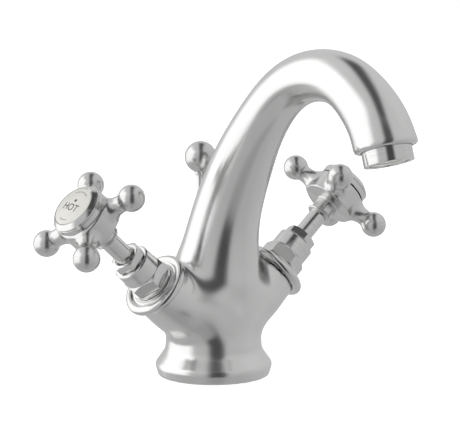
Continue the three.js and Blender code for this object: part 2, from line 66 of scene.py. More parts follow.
AXIS_HEIGHT = 15.5              # where both valve axes meet the body axis
ARM_RISE = 41.6                 # above level
ARM_SWEEP = 2.5                 # towards the spout
ARM_END = 43.6
ARM_OVERLAP = 0.2               # how far an arm goes on under its flange
ARM_EDGE = 0.3
ARM_RADIUS = 13.3               # at its end, where an arm is round
ARM_MIDDLE = 2.0                # softens the line where the two arms meet
# Where an arm's section starts and ends to change on the way out, and what it is at first.
ARM_LOWER = (14, 34, 12.0)              # its depth below the valve axis
ARM_UPPER = (24, 42, 17.2)              # its height above that axis
ARM_DEPTH = (12, 46, 20.2)              # half its depth front to back
ARM_LOWER_BEND = (20, 41, 17.0)         # the radius of its lower side
ARM_UPPER_BEND = (22, 41, 9.0)          # and of its upper side
ARM_LEAN = 0.06                 # how fast the arms' middle moves to the front with height
ARM_LEAN_START = 28.0
ARM_LEAN_BEND = 5.0
ARM_LEAN_END = (28, 38)         # the lean fades out between these distances along an arm
WAIST_BLEND = (14, 3.0)         # a height, and the fillet between arms and column there
ARM_BLEND = (34, 8.0)

OUTLET_TILT = 17.5              # away from straight down
OUTLET_EDGE = 2.2
OUTLET_STRETCH = 25.0           # the length of spout that the outlet's plane may cut
# Spout centreline: y, z and the radius of the casting, slimmer where the arms cover it.
SPOUT = [
    (0.0, 6.0, WAIST_RADIUS),
    (0.0, 17.6, WAIST_RADIUS),
    (-0.5, 32.0, 20.0),
    (-1.6, 42.0, 20.9),
    (-3.0, 50.0, 20.9),
    (-4.8, 58.6, 18.9),
    (-7.5, 69.8, 16.9),
    (-11.4, 81.0, 15.8),
    (-16.5, 92.0, 15.0),
    (-22.6, 103.1, 14.1),
    (-29.8, 114.0, 12.9),
    (-38.5, 124.7, 11.9),
    (-49.7, 135.1, 11.4),
    (-63.2, 142.4, 11.3),
    (-78.3, 145.2, 11.4),
    (-93.4, 143.0, 11.8),
    (-106.3, 135.1, 12.6),
    (-115.0, 125.6, 13.3),
    (-119.6, 116.5, 13.8),
]

HEX_FLATS = 18.9
HEX_BOTTOM = 50.9
HEX_TOP = 57.3
BONNET_RADIUS = 9.15
BONNET_TOP = 65.4
SKIRT_RADIUS = 10.4
SKIRT_BOTTOM = 48.9
THREAD_RADIUS = 9.2
THREAD_BOTTOM = 44.5            # the headgear is shown from here out
HEX_CHAMFER = 0.94              # how steeply the corners are turned off at the top
HEX_EDGE = 0.15
NUT_FLATS = 13.8
NUT_BOTTOM = 66.1
NUT_TOP = 69.7
NUT_DISH = 0.8
NUT_CHAMFER = 0.52
NUT_EDGE = 0.12
GLAND_RADIUS = 6.4
GLAND_BOTTOM = 64.0             # the gland nut is shown from here out
STEM_RADIUS = 4.45
STEM_BOTTOM = 36.0              # and the spindle from here
FLANGE_BORE = 9.8
FLANGE_BOTTOM = 44.0
BEAD_REACH = 14.1               # the flange's round rim: where its middle is, and its radius
BEAD_HEIGHT = 46.25
BEAD_RADIUS = 2.3

CROSS = 96.3                    # middle of the crosshead; its heights count from there
DRUM_RADIUS = 13.0
DRUM_BOTTOM = -5.6
DRUM_TOP = 5.5
DRUM_BEVEL = 1.0
COLLAR_START = -13.4
COLLAR_RADIUS = 5.6
COLLAR_RING = 0.8               # how far the ring at its end stands out
CROSS_ARM = 23.8
CROSS_ARM_RADIUS = 5.5
CROSS_ARM_BLEND = 1.8
COLLAR_BLEND = 0.6
BALL_RADIUS = 6.1
BALL_START = 4.0                # degrees of the ball that the fillet to its neck takes
NECK_RADIUS = 3.9
# A crosshead arm from the drum to its thinnest place: radius and distance out.
NECK = [(CROSS_ARM_RADIUS, 12.0), (5.0, 13.5), (4.4, 15.0), (4.05, 16.5),
        (NECK_RADIUS + 0.05, 18.0)]
BEZEL_BOTTOM = 5.8
BEZEL_RADIUS = 12.4
BEZEL_RECESS = 9.3              # radius of the hollow under the bezel
BEZEL_SEAT = (2.9, 3.9)         # heights of that hollow's roof and of the disc's seat
INDEX_RADIUS = 9.95
INDEX_BOTTOM = BEZEL_BOTTOM + 4.2
INDEX_RIM = INDEX_BOTTOM + 1.2
INDEX_DOME = 0.7
PRINT_DEPTH = 0.05
WORD_SIZE = 5.0
WORD_PLACE = (-0.3, -1.1, 0)    # from the middle of the disc
DOT_REACH = 7.6                 # radius of the arcs of small dots
DOT_STEP = 8.0
PRINT_TURN = -45.0

ROD_Y = 10.0
ROD_RADIUS = 1.95
ROD_COLLAR = 1.1                # height of the ring that rests on the guide
ROD_HOLE_TOP = 84.0             # above the casting there
GUIDE_TOP = 67.0
GUIDE_RADIUS = 3.6
KNOB_HEIGHT = 102.3
KNOB_RADIUS = 7.5
KNOB_NECK = 2.9

AERATOR_RADIUS = 10.8
AERATOR_END = 6.2
AERATOR_START = -6.5
AERATOR_WALL = 1.5
AERATOR_LIP = (0.8, 1.4)        # how far the lip goes in, and its height
POCKET_DEPTH = 8.5
INLET_X = 10.5
INLET_RADIUS = 4.25
INLET_TOP = 21.5
STUD_Y = -13.0
STUD_RADIUS = 3.4
STUD_DEPTH = 13.0
GASKET_GROOVE = (20.1, 24.3, 2.0)       # inner and outer radius, height
PAST = 1.0                      # how far a cutter reaches past the face that it opens

# Turns about the valve axis of the crosshead and of both hexagons, and the word on the disc.
SIDES = {
    "hot": {"cross": 39.2, "hex": 43.0, "nut": 31.5, "mark": "HOT"},
    "cold": {"cross": 48.1, "hex": 50.0, "nut": 41.0, "mark": "COLD"},
}
JOINTS = {joint["name"]: joint for joint in frame["joints"]}


# ---- camera, floor and light ----------------------------------------------------------
CAMERA_AZIMUTH = -37.62
CAMERA_ELEVATION = 8.02
CAMERA_DISTANCE = 904.7
LENS = 151.0
SENSOR_WIDTH = 36.0
AIM = Vector((0, 0, 70.8))
AIM_SHIFT = (7.74, 3.25)        # to the camera's right and up

# Parts of the studio, as low end, high end and softness. Turns are degrees from the camera
# to its right, pitches degrees from the camera up and over; height and aside are shares of
# the way straight up and straight to the camera's right.
SOFTBOX_TURN = (-132, -52, 9)
SOFTBOX_HEIGHT = (-0.40, 0.70, 0.1)
SOFTBOX_LIGHT = 0.75
GAP_TURN = (-10, 26, 7)
GAP_HEIGHT = (-0.60, 0.76, 0.06)
OVERHEAD_ASIDE = (-0.14, 0.26, 0.1)
OVERHEAD_PITCH = (46, 125, 8)
GAP_LIGHT = 0.07
FRONT_TURN = (-14, 28, 10)
FRONT_LIGHT = 0.38
# Soft steps of the light, as where each starts and ends, and sometimes its values there.
FRONT_EDGE = (-0.55, -0.62)
WALL_FOOT = (-0.8, 0.1, 0.48, 0.58)
WALL_TOP = (0.0, 0.7, 0.0, 0.07)
WALL_SIDES = (70, 100, 0, 0.04)

FLOOR_REACH = 4.0               # metres from the middle
FLOOR_GREY = 0.9
FLOOR_GLOW = 0.75


def camera_directions():
    """The unit vectors from the aim to the camera, to its right and upwards."""
    a = math.radians(CAMERA_AZIMUTH)
    e = math.radians(CAMERA_ELEVATION)
    back = Vector((math.sin(a) * math.cos(e), -math.cos(a) * math.cos(e), math.sin(e)))
    right = Vector((math.cos(a), math.sin(a), 0))
    return back, right, back.cross(right)


def make_camera():
    back, right, up = camera_directions()
    camera = bpy.data.objects.new("camera", bpy.data.cameras.new("camera"))
    bpy.context.scene.collection.objects.link(camera)
    camera.data.sensor_width = SENSOR_WIDTH
    camera.data.lens = LENS
    camera.data.clip_start = 0.05
    camera.data.clip_end = 20
    place = AIM + right * AIM_SHIFT[0] + up * AIM_SHIFT[1] + back * CAMERA_DISTANCE
    turn = Matrix((right, up, back)).transposed().to_4x4()
    camera.matrix_world = Matrix.Translation(place * MM) @ turn
    bpy.context.scene.camera = camera


make_camera()


# ---- node helpers ---------------------------------------------------------------------
class Nodes:
    """Adds and links shader nodes in one tree."""

    def __init__(self, tree):
        self.tree = tree

    def add(self, kind, values=None, **settings):
        node = self.tree.nodes.new(kind)
        for name, value in settings.items():
            setattr(node, name, value)
        for socket, value in (values or {}).items():
            if isinstance(value, bpy.types.NodeSocket):
                self.tree.links.new(value, node.inputs[socket])
            else:
                node.inputs[socket].default_value = value
        return node

    def math(self, operation, *values):
        node = self.add("ShaderNodeMath", dict(enumerate(values)), operation=operation)
        return node.outputs[0]

    def step(self, value, low, high, start=0.0, end=1.0):
        """A soft step from start to end while value goes from low to high."""
        node = self.add("ShaderNodeMapRange", {"Value": value, "From Min": low, "From Max": high,
                                               "To Min": start, "To Max": end},
                        interpolation_type="SMOOTHSTEP")
        return node.outputs["Result"]


def window(nodes, value, low, high, edge):
    """One between low and high, falling to nothing over an edge on each side."""
    rise = nodes.step(value, low - edge, low + edge)
    fall = nodes.step(value, high - edge, high + edge, 1.0, 0.0)
    return nodes.math("MULTIPLY", rise, fall)


def make_world():
    """A grey studio: a big soft box to the left, and a dark gap in front and overhead."""
    back, right, _ = camera_directions()
    world = bpy.data.worlds.new("studio")
    bpy.context.scene.world = world
    world.use_nodes = True
    world.node_tree.nodes.clear()
    nodes = Nodes(world.node_tree)
    direction = nodes.add("ShaderNodeTexCoord").outputs["Generated"]

    def along(vector):
        """How far the direction goes along the level part of a vector."""
        level = Vector((vector.x, vector.y, 0)).normalized()
        node = nodes.add("ShaderNodeVectorMath", {0: direction, 1: level}, operation="DOT_PRODUCT")
        return node.outputs["Value"]

    def degrees(rise, run):
        return nodes.math("MULTIPLY", nodes.math("ARCTAN2", rise, run), 180 / math.pi)

    def both(first, second):
        return nodes.math("MULTIPLY", first, second)

    def towards(value, target, share):
        """The value moved by a share of the way to its target."""
        return nodes.math("MULTIPLY_ADD", nodes.math("SUBTRACT", target, value), share, value)

    height = nodes.add("ShaderNodeSeparateXYZ", {0: direction}).outputs["Z"]
    aside = along(right)
    turn = degrees(aside, along(back))
    pitch = degrees(height, along(back))
    softbox = both(window(nodes, turn, *SOFTBOX_TURN), window(nodes, height, *SOFTBOX_HEIGHT))
    gap = both(window(nodes, turn, *GAP_TURN), window(nodes, height, *GAP_HEIGHT))
    overhead = both(window(nodes, aside, *OVERHEAD_ASIDE), window(nodes, pitch, *OVERHEAD_PITCH))
    front_floor = both(window(nodes, turn, *FRONT_TURN), nodes.step(height, *FRONT_EDGE))
    wall = nodes.math("ADD", nodes.step(height, *WALL_FOOT), nodes.step(height, *WALL_TOP))
    wall = nodes.math("ADD", wall, nodes.step(nodes.math("ABSOLUTE", turn), *WALL_SIDES))
    light = nodes.math("MULTIPLY_ADD", softbox, SOFTBOX_LIGHT, wall)
    light = towards(light, FRONT_LIGHT, front_floor)
    light = towards(light, GAP_LIGHT, nodes.math("MAXIMUM", gap, overhead))
    studio = nodes.add("ShaderNodeBackground", {"Color": (1, 1, 1, 1), "Strength": light})
    plain = nodes.add("ShaderNodeBackground", {"Color": (1, 1, 1, 1), "Strength": 1.0})
    seen = nodes.add("ShaderNodeLightPath").outputs["Is Camera Ray"]
    mixed = nodes.add("ShaderNodeMixShader",
                      {0: seen, 1: studio.outputs[0], 2: plain.outputs[0]})
    nodes.add("ShaderNodeOutputWorld", {"Surface": mixed.outputs[0]})


def make_floor():
    mesh = bpy.data.meshes.new("floor")
    corners = [(x * FLOOR_REACH, y * FLOOR_REACH, 0)
               for x, y in ((-1, -1), (1, -1), (1, 1), (-1, 1))]
    mesh.from_pydata(corners, [], [(0, 1, 2, 3)])
    floor = bpy.data.objects.new("floor", mesh)
    bpy.context.scene.collection.objects.link(floor)
    material = bpy.data.materials.new("floor_white")
    material.use_nodes = True
    shader = material.node_tree.nodes["Principled BSDF"]
    shader.inputs["Base Color"].default_value = (FLOOR_GREY, FLOOR_GREY, FLOOR_GREY, 1)
    shader.inputs["Roughness"].default_value = 0.9
    shader.inputs["Emission Color"].default_value = (1, 1, 1, 1)
    shader.inputs["Emission Strength"].default_value = FLOOR_GLOW
    mesh.materials.append(material)
    floor.visible_glossy = False


def set_view():
    settings = bpy.context.scene.view_settings
    settings.view_transform = "Standard"
    settings.look = "None"


make_world()
make_floor()
set_view()


# ---- materials ------------------------------------------------------------------------
DARKER = 0.91                   # the darker of two tones of nickel
ALONG_BRUSHING = (1.0, 0.03, 1.0)       # how much the lines are drawn out along it
LINE_SCALE = 1.6                # per millimetre
CLOUD_SCALE = 45.0              # these two per metre
PIT_SCALE = 2600.0
GRAIN_HEIGHT = 0.00002          # in metres


def new_material(name):
    material = bpy.data.materials.new(name)
    material.use_nodes = True
    nodes = Nodes(material.node_tree)
    return material, nodes, material.node_tree.nodes["Principled BSDF"]


def noise(nodes, vector, scale, detail=2.0, roughness=0.5):
    node = nodes.add("ShaderNodeTexNoise", {"Vector": vector, "Scale": scale, "Detail": detail,
                                            "Roughness": roughness})
    return node.outputs["Fac"]


def two_tones(nodes, factor, first, second):
    node = nodes.add("ShaderNodeMix", {0: factor}, data_type="RGBA")
    node.inputs["A"].default_value = (*first, 1)
    node.inputs["B"].default_value = (*second, 1)
    return node.outputs["Result"]


def scaled(nodes, vector, factors):
    node = nodes.add("ShaderNodeVectorMath", {0: vector, 1: factors}, operation="MULTIPLY")
    return node.outputs["Vector"]


def nickel(name, colour, roughness, spread, grain):
    """Nickel plate with a faint grain that runs along the stored brushing direction."""
    material, nodes, shader = new_material(name)
    brush = nodes.add("ShaderNodeAttribute", attribute_name="brush").outputs["Vector"]
    place = nodes.add("ShaderNodeTexCoord").outputs["Object"]
    lines = noise(nodes, scaled(nodes, brush, ALONG_BRUSHING), LINE_SCALE, 3.0)
    cloud = noise(nodes, place, CLOUD_SCALE, 3.0)
    pits = noise(nodes, place, PIT_SCALE, 1.0)
    tint = nodes.math("MULTIPLY_ADD", lines, 0.6, nodes.math("MULTIPLY", cloud, 0.4))
    darker = tuple(c * DARKER for c in colour)
    shader.inputs["Metallic"].default_value = 1.0
    links = material.node_tree.links
    links.new(two_tones(nodes, nodes.step(tint, 0.35, 0.65), darker, colour),
              shader.inputs["Base Color"])
    rough = nodes.step(tint, 0.3, 0.7, roughness - spread, roughness + spread)
    links.new(rough, shader.inputs["Roughness"])
    height = nodes.math("MULTIPLY_ADD", pits, 0.35, lines)
    bump = nodes.add("ShaderNodeBump", {"Strength": grain, "Distance": GRAIN_HEIGHT,
                                        "Height": height})
    links.new(bump.outputs["Normal"], shader.inputs["Normal"])
    return material


def plain_material(name, first, second, roughness, scale, bump_depth, metallic=0.0, coat=0.0):
    """Two close tones, uneven gloss and a fine bump, at the given scale per metre."""
    material, nodes, shader = new_material(name)
    place = nodes.add("ShaderNodeTexCoord").outputs["Object"]
    cloud = noise(nodes, place, scale, 4.0)
    links = material.node_tree.links
    links.new(two_tones(nodes, nodes.step(cloud, 0.35, 0.65), first, second),
              shader.inputs["Base Color"])
    links.new(nodes.step(cloud, 0.3, 0.7, roughness * 0.85, roughness * 1.15),
              shader.inputs["Roughness"])
    shader.inputs["Metallic"].default_value = metallic
    shader.inputs["Coat Weight"].default_value = coat
    bump = nodes.add("ShaderNodeBump", {"Strength": 0.3, "Distance": bump_depth,
                                        "Height": noise(nodes, place, scale * 12)})
    links.new(bump.outputs["Normal"], shader.inputs["Normal"])
    return material


SATIN = nickel("satin_nickel", (0.80, 0.80, 0.795), 0.22, 0.04, 0.4)
HANDLE = nickel("handle_nickel", (0.74, 0.74, 0.735), 0.25, 0.02, 0.12)
POLISHED = nickel("polished_nickel", (0.76, 0.76, 0.755), 0.15, 0.02, 0.08)
BRASS = plain_material("turned_brass", (0.72, 0.58, 0.31), (0.66, 0.52, 0.27), 0.3, 400, 1e-5, 1.0)
STEEL = plain_material("stainless", (0.62, 0.63, 0.64), (0.56, 0.57, 0.58), 0.28, 500, 1e-5, 1.0)
CERAMIC = plain_material("white_ceramic", (0.86, 0.85, 0.80), (0.83, 0.82, 0.765), 0.22, 150, 1e-5,
                         coat=0.6)
ALUMINA = plain_material("alumina", (0.84, 0.84, 0.82), (0.80, 0.80, 0.78), 0.4, 300, 1e-5)
PLASTIC = plain_material("white_plastic", (0.80, 0.80, 0.78), (0.76, 0.76, 0.74), 0.45, 250, 2e-5)
RUBBER = plain_material("rubber", (0.025, 0.025, 0.025), (0.035, 0.035, 0.035), 0.7, 500, 3e-5)
ENAMEL = plain_material("black_enamel", (0.05, 0.05, 0.05), (0.08, 0.08, 0.08), 0.35, 300, 1e-5)
BY_SLOT = {"satin_nickel": SATIN, "polished_nickel": POLISHED, "turned_brass": BRASS,
           "stainless": STEEL, "white_ceramic": CERAMIC, "alumina": ALUMINA,
           "white_plastic": PLASTIC, "rubber": RUBBER}


# ---- outlines -------------------------------------------------------------------------
def arc(centre_r, centre_z, radius, start, end, steps):
    """Points of an arc in an outline, from one angle to another in degrees."""
    angles = np.radians(np.linspace(start, end, steps + 1))
    return [(centre_r + radius * math.cos(a), centre_z + radius * math.sin(a)) for a in angles]


NEARLY_STRAIGHT = math.radians(86)      # half the angle of a corner that needs no rounding


def rounded(outline, radius, steps=4):
    """An open outline with every inner corner rounded, as far as its sides allow."""
    points = [np.array(p, float) for p in outline]
    result = [tuple(points[0])]
    for before, corner, after in zip(points, points[1:], points[2:]):
        to_before = before - corner
        to_after = after - corner
        back, ahead = np.linalg.norm(to_before), np.linalg.norm(to_after)
        half = math.acos(np.clip(to_before @ to_after / back / ahead, -1, 1)) / 2
        if half > NEARLY_STRAIGHT:
            result.append(tuple(corner))
            continue
        cut = min(radius / math.tan(half), back * 0.49, ahead * 0.49)
        start = corner + to_before / back * cut
        end = corner + to_after / ahead * cut
        for share in np.linspace(0, 1, steps + 1):
            bend = (1 - share) ** 2 * start + 2 * share * (1 - share) * corner + share ** 2 * end
            result.append(tuple(bend))
    result.append(tuple(points[-1]))
    return result


# ---- meshes ---------------------------------------------------------------------------
SHARP = 35.0                    # degrees between faces from which their edge looks sharp
CROSS_SHARP = 50.0
TURN_BRUSH = 0.2                # the grain's length round a turned piece, per degree


def new_piece(name, points, faces, material, sharp=SHARP):
    """A smooth-shaded object from points in millimetres in the shared frame."""
    mesh = bpy.data.meshes.new(name)
    mesh.from_pydata([tuple(p) for p in np.asarray(points) * MM], [], faces)
    mesh.validate()
    mesh.polygons.foreach_set("use_smooth", [True] * len(mesh.polygons))
    mesh.set_sharp_from_angle(angle=math.radians(sharp))
    mesh.materials.append(material)
    piece = bpy.data.objects.new(name, mesh)
    bpy.context.scene.collection.objects.link(piece)
    return piece


def store_brush(piece, brush):
    """Keeps where each point lies across and along the brushing, for the material's grain."""
    layer = piece.data.attributes.new("brush", "FLOAT_VECTOR", "POINT")
    layer.data.foreach_set("vector", np.asarray(brush, np.float32).ravel())


def finish_piece(piece, body, slot, *nodes):
    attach(piece, body)
    if nodes:
        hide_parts(*nodes)


def grid_faces(rows, sides, closed):
    """Quads between rows of points that each go once round."""
    faces = []
    last = rows if closed else rows - 1
    for row in range(last):
        above = (row + 1) % rows
        for side in range(sides):
            after = (side + 1) % sides
            faces.append((row * sides + side, row * sides + after,
                          above * sides + after, above * sides + side))
    return faces


def merged(points, faces):
    """The same shape with coincident points made one and flat faces dropped."""
    keys = np.round(np.asarray(points), 5)
    kept, index = np.unique(keys, axis=0, return_inverse=True)
    index = index.reshape(-1)
    result = []
    for face in faces:
        ring = []
        for corner in (int(index[c]) for c in face):
            if corner not in ring:
                ring.append(corner)
        if len(ring) > 2:
            result.append(tuple(ring))
    return kept, result


def turned_shape(rows, sides=96, turn=0.0, closed=False):
    """Points and faces of rows round Z. A row is (radius, height), numbers or one per side."""
    angles = np.radians(turn) + np.arange(sides) * 2 * math.pi / sides
    points = []
    for radius, height in rows:
        radius = np.broadcast_to(radius, sides)
        height = np.broadcast_to(height, sides)
        points.append(np.stack([radius * np.cos(angles), radius * np.sin(angles), height], 1))
    return merged(np.concatenate(points), grid_faces(len(rows), sides, closed))


def turned_piece(name, rows, place, material, sides=96, turn=0.0, closed=False):
    """A turned object set in a frame, brushed round its axis."""
    points, faces = turned_shape(rows, sides, turn, closed)
    brush = np.stack([points[:, 2] + np.hypot(points[:, 0], points[:, 1]),
                      np.degrees(np.arctan2(points[:, 1], points[:, 0])) * TURN_BRUSH,
                      np.zeros(len(points))], 1)
    piece = new_piece(name, apply(place, points), faces, material)
    store_brush(piece, brush)
    return piece


def apply(place, points):
    """Points moved by a 4x4 matrix."""
    matrix = np.array(place)
    return np.asarray(points) @ matrix[:3, :3].T + matrix[:3, 3]


# ---- frames ---------------------------------------------------------------------------
def valve_place(side):
    """Local +Z runs out along the valve axis and local X lies level."""
    joint = JOINTS[f"{side}_valve_turn"]
    out = Vector(joint["axis"]).normalized()
    level = Vector((0, 0, 1)).cross(out).normalized()
    across = out.cross(level)
    turn = Matrix((level, across, out)).transposed().to_4x4()
    return Matrix.Translation(Vector(joint["pos_m"]) / MM) @ turn


def outlet_place():
    tilt = math.radians(OUTLET_TILT)
    out = Vector((0, -math.sin(tilt), -math.cos(tilt)))
    level = Vector((1, 0, 0))
    turn = Matrix((level, out.cross(level), out)).transposed().to_4x4()
    y, z, _ = SPOUT[-1]
    return Matrix.Translation(Vector((0, y, z))) @ turn


def rod_place():
    return Matrix.Translation(Vector((0, ROD_Y, 0)))


VALVE = {side: valve_place(side) for side in SIDES}
OUTLET = outlet_place()


# ---- distance fields ------------------------------------------------------------------
def smooth_min(a, b, blend):
    """The nearer of two distances, with a fillet about as wide as blend."""
    mix = np.maximum(blend - np.abs(a - b), 0) / blend
    return np.minimum(a, b) - mix * mix * blend / 4


def smooth_max(a, b, blend):
    return -smooth_min(-a, -b, blend)


def outline_distance(r, z, outline):
    """Signed distance in a half-plane to a closed outline, below nothing inside it."""
    nearest = np.full(r.shape, np.inf)
    inside = np.zeros(r.shape, bool)
    for (r0, z0), (r1, z1) in zip(outline, outline[1:] + outline[:1]):
        dr, dz = r1 - r0, z1 - z0
        share = np.clip(((r - r0) * dr + (z - z0) * dz) / (dr * dr + dz * dz), 0, 1)
        nearest = np.minimum(nearest, (r - r0 - dr * share) ** 2 + (z - z0 - dz * share) ** 2)
        if dz:
            inside ^= ((z0 <= z) != (z1 <= z)) & (r < r0 + (z - z0) / dz * dr)
    return np.where(inside, -1, 1) * np.sqrt(nearest)


def turned_distance(points, outline):
    """Distance to a turned solid. The outline runs up from the axis and back to it."""
    deep = 60.0
    closed = [(-deep, outline[0][1])] + outline + [(-deep, outline[-1][1])]
    return outline_distance(np.hypot(points[:, 0], points[:, 1]), points[:, 2], closed)


def spline_pieces(values, knots):
    """Second derivatives of the natural cubic spline through the values."""
    count = len(knots)
    step = np.diff(knots)
    matrix = np.eye(count)
    target = np.zeros((count, values.shape[1]))
    for i in range(1, count - 1):
        matrix[i, i - 1:i + 2] = step[i - 1], 2 * (step[i - 1] + step[i]), step[i]
        target[i] = 6 * ((values[i + 1] - values[i]) / step[i]
                         - (values[i] - values[i - 1]) / step[i - 1])
    return np.linalg.solve(matrix, target)


class Spline:
    """A smooth curve through points, with its slope."""

    def __init__(self, values):
        self.values = np.array(values, float)
        gaps = np.linalg.norm(np.diff(self.values[:, :2], axis=0), axis=1)
        self.knots = np.concatenate([[0], np.cumsum(gaps)])
        self.bends = spline_pieces(self.values, self.knots)

    def at(self, t):
        """Values and slopes at the distances t along it."""
        i = np.clip(np.searchsorted(self.knots, t) - 1, 0, len(self.knots) - 2)
        h = (self.knots[i + 1] - self.knots[i])[:, None]
        a = (self.knots[i + 1][:, None] - t[:, None]) / h
        b = 1 - a
        start, end = self.values[i], self.values[i + 1]
        first, second = self.bends[i], self.bends[i + 1]
        value = (a * start + b * end
                 + ((a ** 3 - a) * first + (b ** 3 - b) * second) * h * h / 6)
        slope = ((end - start) / h
                 - (3 * a * a - 1) / 6 * h * first + (3 * b * b - 1) / 6 * h * second)
        return value, slope


SPINE = Spline(SPOUT)
SPINE_GUESSES = np.linspace(0, SPINE.knots[-1], 60)


def nearest_on_spine(points):
    """Distance along the spout's centreline of its nearest place to each point."""
    guesses, _ = SPINE.at(SPINE_GUESSES)
    far = ((points[:, None, 1:] - guesses[None, :, :2]) ** 2).sum(2)
    t = SPINE_GUESSES[far.argmin(1)]
    for _ in range(4):
        value, slope = SPINE.at(t)
        away = points[:, 1:] - value[:, :2]
        t = t + (away * slope[:, :2]).sum(1) / (slope[:, :2] ** 2).sum(1)
        t = np.clip(t, 0, SPINE.knots[-1])
    return t


def spout_distance(points):
    t = nearest_on_spine(points)
    value, _ = SPINE.at(t)
    reach = np.sqrt(points[:, 0] ** 2 + ((points[:, 1:] - value[:, :2]) ** 2).sum(1))
    tube = reach - value[:, 2]
    start = SPOUT[0][1] - points[:, 2]
    outwards = apply(OUTLET.inverted(), points)[:, 2]
    near_end = t > SPINE.knots[-1] - OUTLET_STRETCH
    return np.where(near_end, smooth_max(tube, outwards, OUTLET_EDGE), np.maximum(tube, start))


def foot_outline():
    edge = arc(BASE_EDGE_REACH - BASE_EDGE_RADIUS, BASE_EDGE_RADIUS, BASE_EDGE_RADIUS,
               -90, -BASE_SIDE_SLOPE, 6)
    shoulder = arc(BASE_RADIUS - FOOT_SHOULDER_RADIUS, FOOT_SHOULDER_HEIGHT,
                   FOOT_SHOULDER_RADIUS, -BASE_SIDE_SLOPE, FOOT_SLOPE, 8)
    slope = math.radians(FOOT_SLOPE)
    cove_r = WAIST_RADIUS + WAIST_COVE_RADIUS * (1 - math.cos(slope))
    cove_z = shoulder[-1][1] + (shoulder[-1][0] - cove_r) / math.tan(slope)
    waist_z = cove_z + WAIST_COVE_RADIUS * math.sin(slope)
    cove = arc(WAIST_RADIUS + WAIST_COVE_RADIUS, waist_z, WAIST_COVE_RADIUS,
               180 + FOOT_SLOPE, 180, 20)
    top = waist_z + WAIST_TUCK
    return [(0, 0)] + edge + shoulder + cove + [(WAIST_RADIUS - WAIST_TUCK, top), (0, top)]


FOOT = foot_outline()


def ramp(value, low, start, high, end):
    """From start to end in a soft step while value goes from low to high."""
    share = np.clip((value - low) / (high - low), 0, 1)
    return start + (end - start) * share * share * (3 - 2 * share)


def above_zero(value, softness):
    """The value where it is positive and nothing below, with a soft bend between."""
    return (value + np.sqrt(value * value + softness * softness)) / 2


def arm_frame(points):
    """Both arms folded onto one: distances out along it, across it and to the back."""
    sweep = math.radians(ARM_SWEEP)
    rise = math.radians(ARM_RISE)
    aside = np.abs(points[:, 0])
    level = np.hypot(aside * math.cos(sweep) - points[:, 1] * math.sin(sweep), ARM_MIDDLE)
    back = points[:, 1] * math.cos(sweep) + aside * math.sin(sweep)
    height = points[:, 2] - AXIS_HEIGHT
    out = level * math.cos(rise) + height * math.sin(rise)
    across = height * math.cos(rise) - level * math.sin(rise)
    return out, across, back


def arm_size(out, change):
    """A size of the arms' section, which ends as the arms' radius."""
    start, end, root = change
    return ramp(out, start, root, end, ARM_RADIUS)


def arms_distance(points):
    """The arms: deep ovals inside the column that become round towards their ends."""
    out, across, back = arm_frame(points)
    lower = arm_size(out, ARM_LOWER)
    upper = arm_size(out, ARM_UPPER)
    depth = arm_size(out, ARM_DEPTH)
    lower_bend = arm_size(out, ARM_LOWER_BEND)
    upper_bend = arm_size(out, ARM_UPPER_BEND)
    fading = ramp(out, ARM_LEAN_END[0], 1, ARM_LEAN_END[1], 0)
    lean = -ARM_LEAN * above_zero(points[:, 2] - ARM_LEAN_START, ARM_LEAN_BEND) * fading
    below = np.maximum(0, 1 - (across + lower) / lower_bend)
    above = np.maximum(0, 1 - (upper - across) / upper_bend)
    beside = (back - lean) / depth
    total = below ** 2 + above ** 2 + beside ** 2 + 1e-9
    size = (below ** 2 * lower_bend + above ** 2 * upper_bend + beside ** 2 * depth) / total
    oval = (np.sqrt(total) - 1) * size
    return smooth_max(oval, out - ARM_END - ARM_OVERLAP, ARM_EDGE)


def body_distance(points):
    """The casting above the deck, without its holes."""
    column = np.minimum(turned_distance(points, FOOT), spout_distance(points))
    blend = ramp(points[:, 2], *WAIST_BLEND, *ARM_BLEND)
    whole = smooth_min(column, arms_distance(points), blend)
    return np.maximum(whole, -points[:, 2])


# ---- surface of a distance field ------------------------------------------------------
CORNERS = np.array([(i, j, k) for i in (0, 1) for j in (0, 1) for k in (0, 1)])
CELL_EDGES = [(a, b) for a in range(8) for b in range(a + 1, 8)
              if np.abs(CORNERS[a] - CORNERS[b]).sum() == 1]
COARSE = 4                      # fine steps in a coarse one
NEAR = 1.6                      # coarse steps from the surface within which it is followed


def in_parts(field, points, size=60000):
    return np.concatenate([field(points[i:i + size]) for i in range(0, len(points), size)])


def grid_values(field, low, counts, step):
    """The field on a grid: exact near the surface, and only its sign further off."""
    coarse_counts = (counts - 1) // COARSE + 1
    coarse = np.indices(coarse_counts).reshape(3, -1).T
    rough = in_parts(field, low + coarse * step * COARSE).reshape(coarse_counts)
    fine = np.indices(counts)
    nearest = tuple(np.clip((axis + COARSE // 2) // COARSE, 0, top - 1)
                    for axis, top in zip(fine, coarse_counts))
    values = rough[nearest]
    close = np.abs(values) < step * COARSE * NEAR
    values[close] = in_parts(field, low + np.argwhere(close) * step)
    return values


def cell_points(values, low, step):
    """One point in each cell that the surface crosses, and the cells' numbers."""
    shape = np.array(values.shape) - 1
    below = values < 0
    count = sum(below[i:i + shape[0], j:j + shape[1], k:k + shape[2]].astype(int)
                for i, j, k in CORNERS)
    crossed = np.argwhere((count > 0) & (count < 8))
    number = np.full(shape, -1)
    number[tuple(crossed.T)] = np.arange(len(crossed))
    at_corner = [values[tuple((crossed + corner).T)] for corner in CORNERS]
    total = np.zeros((len(crossed), 3))
    hits = np.zeros(len(crossed))
    for a, b in CELL_EDGES:
        cross = (at_corner[a] < 0) != (at_corner[b] < 0)
        gap = np.where(cross, at_corner[a] - at_corner[b], 1)
        share = np.where(cross, at_corner[a] / gap, 0)[:, None]
        total += cross[:, None] * (CORNERS[a] + share * (CORNERS[b] - CORNERS[a]))
        hits += cross
    return low + step * (crossed + total / hits[:, None]), number


